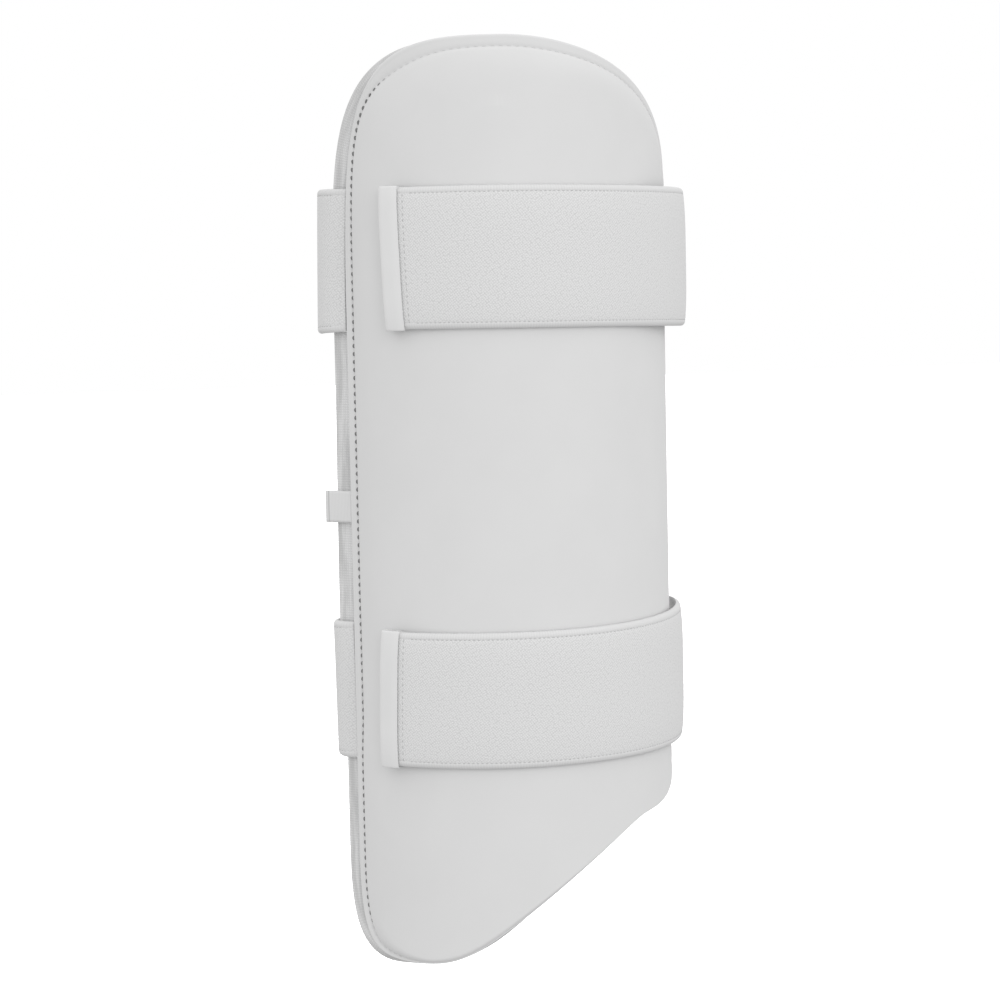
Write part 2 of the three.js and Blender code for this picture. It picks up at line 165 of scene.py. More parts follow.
# Both straps: the edges curl towards the face, between two angles. The seam presses the sewn end flat by
# PINCH, over the first share of the length. CROWD moves the rows towards the sewn end. The sewn end follows
# the seam over the share SEAM_FADE, and the free end leans from the share LEAN_FROM on. A sewn line runs HEM
# inside each edge.
STRAP_THICK = 2.3
STRAP_CURL = 1.1
STRAP_ROUND = 1.8
STRAP_STEPS = 240
CURL_ANGLE = (-200.0, -290.0)
SEAM_REACH = 0.42
SEAM_FADE = 0.35
LEAN_FROM = 0.8
CROWD = 0.45
PINCH = 1.5
PINCH_SHARE = 0.018
PINCH_STEPS = 9
HEM = 2.7
HEM_RINGS = (0.6, 0.35, 0.15, 0, -0.15, -0.35, -0.7)
HEM_DEPTH = 0.14
HEM_WIDTH = 0.35
HEM_END = 0.985
HEM_POINTS = 600
CLOTH_HALF = 30.0

# Each row: angle in degrees, radius of the strap's inner side. The angle runs backwards from the left seam,
# round the back and the right side to the front.
UPPER_PATH = (
    (-85, 72.8),
    (-88, 75.4),
    (-91, 77.2),
    (-95, 77.9),
    (-111, 76.5),
    (-145, 80),
    (-180, 84),
    (-215, 86),
    (-250, 85),
    (-291, 82.1),
    (-312, 78.8),
    (-330, 76.4),
    (-350, 75.9),
    (-375, 75.9),
    (-400, 76.2),
    (-430, 78.6),
)
LOWER_PATH = (
    (-84.8, 72.5),
    (-88, 74.6),
    (-91, 75.8),
    (-95, 75.1),
    (-111, 69.8),
    (-145, 75.5),
    (-180, 83),
    (-215, 87.5),
    (-250, 86.5),
    (-291, 78),
    (-312, 76.1),
    (-330, 75.9),
    (-350, 75.9),
    (-375, 75.9),
    (-400, 76.2),
    (-430, 78.6),
)

# Pull tab folded over a strap's free end, which stops short of the slot's floor. A stitch row crosses the
# strap beside the tab, a little sunk in.
TAB_LENGTH = 9.2
TAB_THICK = 5.0
TAB_SLOT_DEPTH = 5.0
TAB_SLOT_GAP = 0.5
TAB_END_GAP = 0.6
TAB_EXTRA = 0.6
TAB_ROUND = 0.9
TAB_LIP = 0.3
TAB_TAPER = 3.0
TAB_ROWS = 24
TAB_SIDE_DRAW = 0.55
TAB_NOSE_DRAW = 0.6
END_ROW = 2.1
END_ROW_SHARE = 0.93
END_ROW_POINTS = 80
END_ROW_SUNK = 0.04

# Woven label sewn into the left seam.
LABEL_Z = -1.5
LABEL_HEIGHT = 14.0
LABEL_LENGTH = 14.5
LABEL_THICK = 1.2
LABEL_START = 0.6
LABEL_FOLD = 2.5
LABEL_BOW = 0.12
LABEL_CREASE = 12.4
LABEL_POINTS = 15
FOLD_POINTS = 13

# Stitch rows, as pitch and length along the row, width across it and height above the cloth. The flange's
# stitches lie at a share of the groove's depth, and show only as far as the edge looks left.
FLANGE_STITCH = {"pitch": 3.5, "length": 1.9, "width": 2.3, "rise": 0.5}
LINING_STITCH = {"pitch": 3.5, "length": 2.7, "width": 0.7, "rise": 0.35}
HEM_STITCH = {"pitch": 2.0, "length": 1.1, "width": 0.45, "rise": 0.16}
END_STITCH = {"pitch": 2.6, "length": 1.3, "width": 0.5, "rise": 0.18}
STITCH_STEPS = 7
STITCH_SIDES = 8
STITCH_TAPER = 1.96
STITCH_POWER = 0.4
STITCH_SUNK = 0.55
STITCH_LEFT = (0.35, 1.0)
STITCH_FADE = 2.5
STITCH_LEAST = 0.02


# Flat pattern

def grid(*parts):
    """Points from their coordinates, each of which is spread over the whole grid."""
    return np.stack(np.broadcast_arrays(*parts), axis=-1)


def super_arc(centre, reach, power, turn):
    """Quarter of a superellipse: the centre plus the reach times sine and cosine to the power 2 / power."""
    sides = np.stack([np.sin(turn), np.cos(turn)], axis=-1)
    return np.array(centre) + np.array(reach) * np.clip(sides, 0, 1) ** (2 / power)


def cut_height(s):
    """Height of the slanted lower edge: a sine that flattens softly onto its lowest level."""
    slant = CUT_MIDDLE_Z + CUT_RISE * np.sin(s / ROLL_RADIUS + CUT_TURN)
    half = (slant - CUT_FLOOR_Z) / 2
    return CUT_FLOOR_Z + half + np.hypot(half, CUT_SOFT)


def lengths(points):
    """Length of a line of points from its start to each point."""
    step = np.linalg.norm(np.diff(points, axis=0), axis=1)
    return np.concatenate([[0.0], np.cumsum(step)])


def read_line(points, length, want):
    """Points of a line at the wanted lengths from its start, each column read by itself."""
    return np.stack([np.interp(want, length, column) for column in points.T], axis=-1)


def evenly(points, count):
    """The same line as count + 1 points at equal steps of its length."""
    length = lengths(points)
    return read_line(points, length, np.linspace(0, length[-1], count + 1))


def eased_heel(line):
    """Right side of the pattern with its bend where the heel meets the slant eased.

    There the line's slope drops from the slant's last rise to zero, which is half that rise times the
    distance from the bend. A hyperbola takes the place of that distance.
    """
    off_bend = line[:, 0] - HEEL_S
    last_rise = cut_height(HEEL_S) - cut_height(HEEL_S - 1)
    drop = last_rise / 2 * (np.hypot(off_bend, HEEL_EASE) - np.abs(off_bend))
    return np.stack([line[:, 0], line[:, 1] - np.where(line[:, 1] < HEEL_Z, drop, 0)], axis=-1)


def pattern_edge():
    """Edge of the flat pattern and its outward directions, down the left side from the apex, up the right.

    The dome, the toe and the heel are quarters of superellipses, joined by the straight sides and the slant.
    """
    quarter = np.linspace(0, math.pi / 2, DENSE)
    dome = (APEX_S, SHOULDER_Z)
    rise = APEX_Z - SHOULDER_Z
    toe_reach = (-HALF_WIDTH - TIP_S, cut_height(TIP_S) - FOOT_Z)
    heel_reach = (HALF_WIDTH - HEEL_S, cut_height(HEEL_S) - HEEL_Z)
    cut_s = np.linspace(HEEL_S, TIP_S, DENSE)[1:]
    left = np.concatenate([
        super_arc(dome, (-HALF_WIDTH - APEX_S, rise), LEFT_POWER, quarter),
        super_arc((TIP_S, FOOT_Z), toe_reach, TOE_POWER, quarter[::-1]),
    ])
    right = eased_heel(np.concatenate([
        super_arc(dome, (HALF_WIDTH - APEX_S, rise), RIGHT_POWER, quarter),
        super_arc((HEEL_S, HEEL_Z), heel_reach, HEEL_POWER, quarter[::-1]),
        np.stack([cut_s, cut_height(cut_s)], axis=-1),
    ]))
    edge = np.concatenate([evenly(left, HALF_COUNT), evenly(right, HALF_COUNT)[-2:0:-1]])
    along = np.roll(edge, -4, axis=0) - np.roll(edge, 4, axis=0)
    along /= np.linalg.norm(along, axis=1, keepdims=True)
    return edge, np.stack([along[:, 1], -along[:, 0]], axis=-1)


def smooth(value, ends):
    """Soft step from 0 to 1 while the value goes from the first end to the second."""
    share = np.clip((value - ends[0]) / (ends[1] - ends[0]), 0, 1)
    return share * share * (3 - 2 * share)


EDGE, OUT = pattern_edge()
COUNT = len(EDGE)
LEFTWARD = np.maximum(-OUT[:, 0], 0)
SLIM = smooth(EDGE[:, 0], SLIM_S) * smooth(EDGE[:, 1], SLIM_Z)
FLANGE_SHARE = 1 + (SLIM_SHARE - 1) * SLIM
FLARE_SHARE = 1 - smooth(EDGE[:, 0], FLARE_S) * smooth(EDGE[:, 1], FLARE_Z)
RIGHT = smooth(EDGE[:, 0], RIGHT_S)
NARROW = 1 + (NARROW_SHARE - 1) * smooth(EDGE[:, 0], NARROW_S)


def polar(angle, radius, z):
    """Point at an angle in degrees from the front, at a radius and a height."""
    turn = np.radians(angle)
    return grid(radius * np.sin(turn), -radius * np.cos(turn), z)


def roll(s, z, radius):
    """Puts a point of the flat pattern on the thigh: s becomes an angle, at the given radius."""
    return polar(np.degrees(s / ROLL_RADIUS), radius, z)


def flare_at(q):
    """The rim turns outward at the sides: a parabola inside the edge, a straight slope outside it."""
    inside = np.maximum(q + FLARE_WIDTH, 0) / FLARE_WIDTH
    height = np.where(q < 0, FLARE * inside ** 2, FLARE + FLARE_SLOPE * q)
    return height * np.abs(OUT[:, 0]) ** np.where(OUT[:, 1] > 0, 2, 1) * FLARE_SHARE


def off_edge(q, h):
    """Places q outside the edge and h above the backing, as points of the flat pattern and radii."""
    return EDGE + q[..., None] * OUT, BACKING_RADIUS + h + flare_at(q)


def outset_at():
    """How far the backing reaches past the face, from the direction in which the edge looks."""
    x, y = OUT.T
    left = x < 0
    upper = OUTSET_SIDE + (OUTSET_MIDDLE - OUTSET_SIDE) * smooth(EDGE[:, 1], OUTSET_SWELL)
    reach = upper + (OUTSET_LOW - upper) * smooth(EDGE[:, 1], OUTSET_FALL)
    power = np.where(left, np.where(y > 0, OUTSET_SHOULDER, 1), 3)
    side = np.where(left, reach, OUTSET_SIDE) * np.abs(x) ** power
    end = np.where(y > 0, OUTSET_TOP, OUTSET_BOTTOM * np.clip(1 - x / OUTSET_FADE, 0, 1))
    toe = np.where(left & (y < 0), OUTSET_TOE * 2 * x * y, 0)
    return side + end * y ** 2 + toe


# Nets

def ring_faces(rows, count):
    """Quads between closed rings that follow each other."""
    a = np.arange(rows - 1)[:, None] * count + np.arange(count)
    b = np.arange(rows - 1)[:, None] * count + (np.arange(count) + 1) % count
    return np.stack([a, a + count, b + count, b], axis=-1).reshape(-1, 4)


def end_faces(rows, count):
    """Two flat faces that close the first and the last section."""
    section = np.arange(count)[None]
    return np.concatenate([section, section[:, ::-1] + (rows - 1) * count])


def swept_solid(points, cloth):
    """A closed section carried along rows and closed at both ends, with the cloth place of each point."""
    rows, count = points.shape[:2]
    cloth = cloth.reshape(-1, 2)
    faces = [ring_faces(rows, count), end_faces(rows, count)]
    return points.reshape(-1, 3), faces, [cloth[block] for block in faces]


def chord_net(ring_start, first_new):
    """Rows of point numbers across a ring, from its left half to its right half, with new points between."""
    rows = np.arange(1, HALF_COUNT)
    new = first_new + np.arange(len(rows) * (ACROSS - 1)).reshape(len(rows), ACROSS - 1)
    left = ring_start + rows[:, None]
    right = ring_start + COUNT - rows[:, None]
    return np.concatenate([left, new, right], axis=1)


def chord_faces(net, top, bottom):
    """Quads between the rows of a chord net, and triangles from its first and last row to the end points."""
    quads = np.stack([net[:-1, :-1], net[1:, :-1], net[1:, 1:], net[:-1, 1:]], axis=-1).reshape(-1, 4)
    ends = [
        np.stack([np.full(ACROSS, top), net[0, :-1], net[0, 1:]], axis=-1),
        np.stack([np.full(ACROSS, bottom), net[-1, 1:], net[-1, :-1]], axis=-1),
    ]
    return quads, np.concatenate(ends)


def chord_points(flat, radius):
    """Points on straight lines of the pattern between the ring's left and right halves, ends left out."""
    share = np.linspace(0, 1, ACROSS + 1)[1:-1, None]
    ring = np.concatenate([flat, radius[:, None]], axis=1)
    left = ring[1:HALF_COUNT]
    right = ring[:HALF_COUNT:-1]
    return (left[:, None] + (right - left)[:, None] * share).reshape(-1, 3)


def unwrapped(corners, axis, period):
    """Cloth places of faces that close a loop, moved on by a period so that no face runs backwards."""
    last = corners[..., axis].max(axis=1, keepdims=True)
    corners[..., axis] += period * (last - corners[..., axis] > period / 2)
    return corners


def ring_solid(q, h, flat_bands=0):
    """Closed solid from rings q outside the edge and h above the backing, first to last, closed by chords.

    Gives the points, the blocks of faces, and for each block its place on the cloth in millimetres: length
    round the edge and across the section for the rings, the flat pattern for the chords and the last bands.
    """
    q, h = np.broadcast_arrays(q, h, np.zeros(COUNT))[:2]
    flat, radius = off_edge(q, h)
    rings = roll(flat[..., 0], flat[..., 1], radius)
    rows = len(rings)
    caps = [chord_points(flat[k], radius[k]) for k in (0, -1)]
    points = np.concatenate([rings.reshape(-1, 3)] + [roll(*cap.T) for cap in caps])
    round_edge = lengths(np.concatenate([EDGE, EDGE[:1]]))
    across = lengths(rings[:, HALF_COUNT // 2])
    ring_cloth = grid(round_edge[:-1], across[:, None]).reshape(-1, 2)
    flat_cloth = np.concatenate([flat.reshape(-1, 2)] + [cap[:, :2] for cap in caps])
    bands = ring_faces(rows, COUNT)
    split = (rows - 1 - flat_bands) * COUNT
    faces = [bands[:split], bands[split:]]
    cloth = [unwrapped(ring_cloth[faces[0]], 0, round_edge[-1]), flat_cloth[faces[1]]]
    first_new = rows * COUNT
    for ring, outward in ((0, True), (rows - 1, False)):
        start = ring * COUNT
        net = chord_net(start, first_new)
        first_new += (HALF_COUNT - 1) * (ACROSS - 1)
        for block in chord_faces(net, start, start + HALF_COUNT):
            block = block if outward else block[:, ::-1]
            faces.append(block)
            cloth.append(flat_cloth[block])
    return points, faces, cloth


def mesh_piece(name, net, material):
    """Smooth mesh from points in millimetres, blocks of faces and the blocks' places on the cloth."""
    points, faces, cloth = net
    mesh = bpy.data.meshes.new(name)
    mesh.from_pydata((points * MM).tolist(), [], [face for block in faces for face in block.tolist()])
    layer = mesh.uv_layers.new(name=CLOTH)
    places = np.concatenate([block.reshape(-1) for block in cloth])
    layer.uv.foreach_set("vector", places.astype(np.float32))
    mesh.shade_smooth()
    mesh.materials.append(material)
    piece = bpy.data.objects.new(name, mesh)
    bpy.context.scene.collection.objects.link(piece)
    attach(piece, "root")
    return piece


# Stitches

def stitch_row(line, outward, pitch, length, width, rise, size=1.0):
    """Beads of thread along a line: each is a round section carried over its own short stretch of the line.

    The bead's half width and height follow a flattened half circle from end to end. size, one number for
    each point of the line, makes stitches smaller where the thread sinks into the cloth.
    """
    steps = np.linspace(-0.5, 0.5, STITCH_STEPS)
    around = np.linspace(0, 2 * math.pi, STITCH_SIDES, endpoint=False)
    along = lengths(line)
    count = int(along[-1] / pitch)
    centre = (np.arange(count) + 0.5) * along[-1] / count
    want = centre[:, None] + steps * length
    at = read_line(line, along, want)
    up = read_line(outward, along, want)
    up /= np.linalg.norm(up, axis=-1, keepdims=True)
    side = np.cross(np.gradient(at, axis=1), up)
    side /= np.linalg.norm(side, axis=-1, keepdims=True)
    fullness = (1 - (STITCH_TAPER * steps) ** 2) ** STITCH_POWER
    scale = np.interp(centre, along, np.broadcast_to(size, along.shape))
    girth = (scale[:, None] * fullness)[..., None, None]
    sideways = np.cos(around)[:, None] * side[:, :, None] * width / 2
    upwards = np.sin(around)[:, None] * up[:, :, None] * rise
    points = at[:, :, None] + girth * (sideways + upwards)
    first = np.arange(count)[:, None, None] * STITCH_STEPS * STITCH_SIDES
    skin = (first + ring_faces(STITCH_STEPS, STITCH_SIDES)).reshape(-1, 4)
    cap = np.arange(STITCH_SIDES)
    last_cap = (STITCH_STEPS - 1) * STITCH_SIDES + cap[::-1]
    ends = np.concatenate([first[:, 0] + cap, first[:, 0] + last_cap])
    twist = grid((steps * length)[:, None], around)
    places = np.broadcast_to(twist, (count, *twist.shape)).reshape(-1, 2)
    cloth = [unwrapped(places[skin], 1, 2 * math.pi), places[ends]]
    return points.reshape(-1, 3), [skin, ends], cloth


def joined(parts):
    """Several sets of points, faces and cloth places as one set, with the face numbers moved on."""
    points, faces, cloth = [], [], []
    start = 0
    for part_points, part_faces, part_cloth in parts:
        points.append(part_points)
        faces += [block + start for block in part_faces]
        cloth += part_cloth
        start += len(part_points)
    return np.concatenate(points), faces, cloth


# Face and backing

def stitch_size():
    """Share of its full size that a stitch shows: all of it on the left, hardly any at the top."""
    return np.maximum(smooth(LEFTWARD, STITCH_LEFT) ** STITCH_FADE * (1 - SLIM ** 2), STITCH_LEAST)


def strap_pull():
    """How much a strap sewn into the left seam draws it in, from 0 to 1, soft at the strap's edges."""
    pull = np.zeros(COUNT)
    for strap in (UPPER_STRAP, LOWER_STRAP):
        off_middle = (EDGE[:, 1] - strap["z"]) / (strap["width"] / 2)
        pull += np.exp(-off_middle ** 6)
    return pull * LEFTWARD


def toe_turn():
    """How near an edge point is to the middle of the turn round the toe, from 0 to 1."""
    return 4 * SLIM * (1 - SLIM) * np.sqrt(LEFTWARD) * smooth(-OUT[:, 1], TOE_DOWN)


def sewn_points():
    """Numbers of the edge points on the seam: from the heel up the right, over the top and to the tip."""
    slim = np.flatnonzero(SLIM > SEAM_END)
    return np.concatenate([np.arange(slim[-1] + 1, COUNT), np.arange(slim[0])])


def seam_sweep():
    """Share by which the seam is further from the edge: it takes the top left corner in a wider sweep."""
    corner = np.arctan2(-OUT[:, 0], OUT[:, 1])
    swept = (corner > 0) & (corner < math.pi / 2)
    return np.where(swept, 1 + SEAM_SWEEP * np.sin(4 * corner), 1)


def groove_line():
    """Distance of the sewn groove from the edge."""
    return GROOVE_Q * NARROW * FLANGE_SHARE * seam_sweep()


def seam_phase():
    """Turn of the stitch pattern at each edge point, one turn a stitch, zero in the middle of a stitch."""
    sewn = sewn_points()
    along = lengths((EDGE - groove_line()[:, None] * OUT)[sewn])
    count = int(along[-1] / FLANGE_STITCH["pitch"])
    phase = np.zeros(COUNT)
    phase[sewn] = 2 * math.pi * (along * count / along[-1] - 0.5)
    return phase


def groove_depth():
    """Depth of the sewn groove: deep at the toe and where a strap pulls, none where the flange is slim."""
    share = 1 - LEFT_GROOVE + LEFT_GROOVE * LEFTWARD + TOE_GROOVE * toe_turn() + STRAP_GROOVE * strap_pull()
    dip = 1 - STITCH_DIP + STITCH_DIP * np.cos(seam_phase())
    return GROOVE_DEPTH * share * (1 - SLIM ** 4) * dip


def raised(h):
    """Heights of the face's section, lifted towards the crown's at the right, the top and the slant."""
    top = np.maximum(OUT[:, 1], 0) ** 2
    share = np.maximum.reduce([RIGHT_RISE * RIGHT, TOP_RISE * top, SLIM_RISE * SLIM ** 4])
    return h + (CROWN_HEIGHT - h) * share


def face_section():
    """Rings of the face: the crown's roll-off, the sewn groove, the flange, its round edge, the underside.

    The roll-off is a power curve from the crown down to the flange. The groove and the crease near the edge
    are bell curves, the groove deeper under each stitch than between two. Where the flange is slim, all the
    upper rings draw together at the edge.
    """
    roll_q = np.linspace(-CROWN_EDGE, -GROOVE_Q, ROLL_RINGS + 1)[:-1]
    share = (-roll_q - GROOVE_Q) / (CROWN_EDGE - GROOVE_Q)
    roll_h = FLANGE_HEIGHT + (CROWN_HEIGHT - FLANGE_HEIGHT) * (1 - (1 - share) ** CROWN_POWER)
    edge_turn = np.linspace(0, math.pi / 2, 7)
    round_q = np.append(FLANGE_ROUND * (np.sin(edge_turn) - 1), -FLANGE_LIP_Q)
    round_h = np.append(FLANGE_HEIGHT + FLANGE_ROUND * (np.cos(edge_turn) - 1), FLANGE_LIP_HEIGHT)
    top_q = np.concatenate([roll_q, -np.array(FLANGE_RINGS), round_q])[:, None]
    top_h = np.concatenate([roll_h, np.full(len(FLANGE_RINGS), FLANGE_HEIGHT), round_h])[:, None]
    off_groove = (top_q + GROOVE_Q) * FLANGE_SHARE / GROOVE_WIDTH
    off_crease = (top_q + CREASE_Q) / CREASE_WIDTH
    groove = groove_depth() * np.exp(-off_groove ** 2)
    crease = CREASE_DEPTH * LEFTWARD * (1 - SLIM) * np.exp(-off_crease ** 2)
    crown = np.minimum(top_q + GROOVE_Q, 0) * (1 + (RIGHT_CROWN - 1) * RIGHT)
    flange = np.maximum(top_q, -GROOVE_Q) * NARROW * seam_sweep()
    every = np.ones((1, COUNT))
    upper_q = np.concatenate([-CROWN_Q * every, flange + crown]) * FLANGE_SHARE
    under_q = -np.array(UNDER_RINGS)[:, None] * every
    under_h = np.array([FLANGE_UNDER, FLANGE_UNDER, FACE_UNDER + 0.1, FACE_UNDER])[:, None] * every
    h = np.concatenate([CROWN_HEIGHT * every, raised(top_h) - groove - crease, under_h])
    return np.concatenate([upper_q, under_q]), h


def backing_section():
    """Rings of the backing: its hidden outer side, a half round rim as thick as the foam, its lining."""
    half = BACKING_THICK / 2
    reach = outset_at() - half
    sheet_q = np.minimum(-np.array(BACKING_RINGS)[:, None], reach - np.array(BACKING_CLEAR)[:, None])
    turn = np.linspace(math.pi / 2, -math.pi / 2, RIM_STEPS + 1)[:, None]
    rim_q = reach + half * np.cos(turn)
    rim_h = np.broadcast_to(half * np.sin(turn) - half, rim_q.shape)
    flat = np.zeros_like(sheet_q)
    q = np.concatenate([sheet_q, rim_q, sheet_q[::-1]])
    return q, np.concatenate([flat, rim_h, flat - BACKING_THICK])


def edge_line(q, h):
    """Closed line that follows the edge at q and h, with its outward directions."""
    flat, radius = off_edge(q, h)
    line = roll(flat[:, 0], flat[:, 1], radius)
    return line, roll(flat[:, 0], np.zeros(COUNT), np.ones(COUNT))


# Straps and tabs

def read_path(path, angle):
    """Radius between the rows of a strap's table: a cubic through them, sloped by the rows beside them."""
    a, r = np.array(path, dtype=float).T
    before = np.maximum(np.arange(len(a)) - 1, 0)
    after = np.minimum(np.arange(len(a)) + 1, len(a) - 1)
    slope = (r[after] - r[before]) / (a[after] - a[before])
    i = np.clip(np.searchsorted(-a, -angle, side="right") - 1, 0, len(a) - 2)
    width = a[i + 1] - a[i]
    t = (angle - a[i]) / width
    ease = t * t * (3 - 2 * t)
    bend = t * (1 - t) * width * (slope[i] * (1 - t) - slope[i + 1] * t)
    return r[i] + (r[i + 1] - r[i]) * ease + bend


def curl_at(column, angle):
    """The band's edges curl towards the face: a fourth power across the width, from the right side on."""
    return STRAP_CURL * (1 - np.abs(column) ** 4 * smooth(angle, CURL_ANGLE))


def bend_at(strap, angle):
    """How near an angle is to the strap's bend round the left side, from 0 to 1 on a parabola."""
    return np.maximum(1 - ((angle - strap["turn"]) / strap["reach"]) ** 2, 0)


def lean_at(strap, column):
    """Angle by which the free end leans at a share of the half width."""
    shift = -math.tan(math.radians(strap["skew"])) * column * strap["width"] / 2
    return np.degrees(shift / ROLL_RADIUS)


def band_height(strap, column, angle):
    """Height of a strap at a share of its half width. The band is wider at the right and at its bend."""
    turn = np.sin(np.radians(angle))
    share = 1 + strap["right"] * np.maximum(turn, 0) ** 2 + strap["bend"] * bend_at(strap, angle)
    return strap["z"] - strap["dip"] * turn + column * strap["width"] / 2 * share


def seam_shift(z):
    """Angle of the left seam at a height, measured from the seam's straight stretch."""
    left = EDGE[HALF_COUNT::-1]
    return np.degrees((np.interp(z, left[:, 1], left[:, 0]) + HALF_WIDTH) / ROLL_RADIUS)


def strap_points(strap, path, share, column, lift):
    """Points of a strap at a share of its length and of its half width, lifted off its middle surface."""
    crowded = share + CROWD * (share ** 2 - share)
    first = path[0][0] + SEAM_REACH
    along = first + (strap["end"] - 360 - first) * crowded
    along = along + lean_at(strap, column) * np.maximum(0, (share - LEAN_FROM) / (1 - LEAN_FROM))
    z = band_height(strap, column, along)
    angle = along + seam_shift(z) * np.maximum(0, 1 - share / SEAM_FADE)
    inner = read_path(path, along) + curl_at(column, along) + strap["cone"] * column * bend_at(strap, along)
    return polar(angle, inner + STRAP_THICK / 2 + lift, z)


def strap_middle(strap, path, share):
    """Line along the middle of a strap, at shares of its length."""
    return strap_points(strap, path, share, np.zeros(len(share)), 0)


def strap_columns(strap):
    """Shares of the half width across a strap, and the lifts of its outer and inner surfaces there.

    The outer surface rounds down to the inner one at both edges as a quarter ellipse, and has a shallow sewn
    line HEM inside each edge, as a bell curve.
    """
    half = strap["width"] / 2
    turn = np.linspace(0, math.pi / 2, 8)
    round_mm = half - STRAP_ROUND * (1 - np.cos(turn))
    hem_mm = half - HEM + np.array(HEM_RINGS)
    inside_mm = np.linspace(half - HEM - 2, 0, 10)
    right = np.concatenate([round_mm, hem_mm, inside_mm])
    lift = np.append(np.sin(turn), np.ones(len(right) - len(turn)))
    outer = STRAP_THICK / 2 * (1.5 * lift - 0.5)
    outer -= HEM_DEPTH * np.exp(-((half - right - HEM) / HEM_WIDTH) ** 2)
    inner = -STRAP_THICK / 2 * (0.5 + 0.5 * lift ** 0.5)
    column = np.concatenate([right, -right[-2::-1]]) / half
    return column, np.append(outer, outer[-2::-1]), np.append(inner, inner[-2::-1])


def strap_shares():
    """Shares of a strap's length for its rows, closer together at the sewn end."""
    sewn = np.linspace(0, PINCH_SHARE, PINCH_STEPS + 1)[:-1]
    return np.concatenate([sewn, np.linspace(PINCH_SHARE, 1, STRAP_STEPS)])


def pinch_at(share):
    """How much thinner a strap is at a share of its length, on a parabola to its sewn end."""
    return PINCH * np.maximum(1 - share / PINCH_SHARE, 0) ** 2


def strap_band(strap, path):
    """A closed band: outer and inner surfaces across the width, carried along the strap, its ends closed."""
    column, outer_lift, inner_lift = strap_columns(strap)
    column = column[:-1]
    share = strap_shares()[:, None]
    outer = strap_points(strap, path, share, column, outer_lift[:-1] - pinch_at(share))
    inner = strap_points(strap, path, share, -column, inner_lift[:-1])
    section = np.concatenate([outer, inner], axis=1)
    rows, count = section.shape[:2]
    k = np.arange(len(column) - 1)
    end = np.stack([k, k + 1, count - 1 - k, (count - k) % count], axis=-1)[1:]
    corner = np.array([[0, 1, count - 1], [len(column) - 1, len(column), len(column) + 1]])
    last = (rows - 1) * count
    faces = [ring_faces(rows, count)]
    faces += [np.concatenate([block, block[:, ::-1] + last]) for block in (end, corner)]
    along = lengths(strap_middle(strap, path, share[:, 0]))
    cloth = grid(along[:, None], np.append(column, -column) * CLOTH_HALF).reshape(-1, 2)
    return section.reshape(-1, 3), faces, [cloth[block] for block in faces]


def free_end_row(strap, path, distance, lift):
    """Line across a strap at a distance from its free end, lifted off the strap's middle surface."""
    column = np.linspace(END_ROW_SHARE, -END_ROW_SHARE, END_ROW_POINTS)
    angle = strap["end"] + np.degrees(distance / ROLL_RADIUS) + lean_at(strap, column)
    radius = read_path(path, angle - 360) + curl_at(column, angle - 360) + STRAP_THICK / 2 + lift
    return polar(angle, radius, band_height(strap, column, angle - 360))


def strap_stitches(strap, path):
    """Stitch rows along both edges of a strap and across it beside its tab."""
    top = STRAP_THICK / 2
    share = np.linspace(PINCH_SHARE, HEM_END, HEM_POINTS)
    rows = []
    for side in (1, -1):
        column = np.full(HEM_POINTS, side * (1 - 2 * HEM / strap["width"]))
        line = strap_points(strap, path, share, column, top - HEM_DEPTH)
        rows.append(stitch_row(line, line * (1, 1, 0), **HEM_STITCH))
    line = free_end_row(strap, path, TAB_SLOT_DEPTH - TAB_END_GAP + END_ROW, top - END_ROW_SUNK)
    rows.append(stitch_row(line, line * (1, 1, 0), **END_STITCH))
    return joined(rows)


def tab_section():
    """Section of a tab as u from the open side of its slot to its rounded end and v outward, clockwise.

    The outside thins to a narrow lip at the open side, on a parabola.
    """
    half = TAB_THICK / 2
    slot = STRAP_THICK / 2 + TAB_SLOT_GAP
    lip = TAB_LIP / 2
    nose = np.linspace(math.pi / 2, -math.pi / 2, 17)
    corner = np.linspace(-math.pi / 2, math.pi / 2, 7)
    slot_u = np.linspace(TAB_SLOT_DEPTH, 0.4, 5)
    side_u = np.linspace(TAB_LIP, TAB_LENGTH - half - 0.5, 14)
    thin = np.clip(1 - (side_u - TAB_LIP) / TAB_TAPER, 0, 1) ** 2
    outer = np.concatenate([
        grid(slot_u, slot),
        grid(lip - lip * np.cos(corner), slot + lip + lip * np.sin(corner)),
        grid(side_u, half - (half - slot - TAB_LIP) * thin),
    ])
    round_end = grid(TAB_LENGTH - half + half * np.cos(nose), half * np.sin(nose))
    return np.concatenate([outer, round_end, (outer * (1, -1))[::-1]])


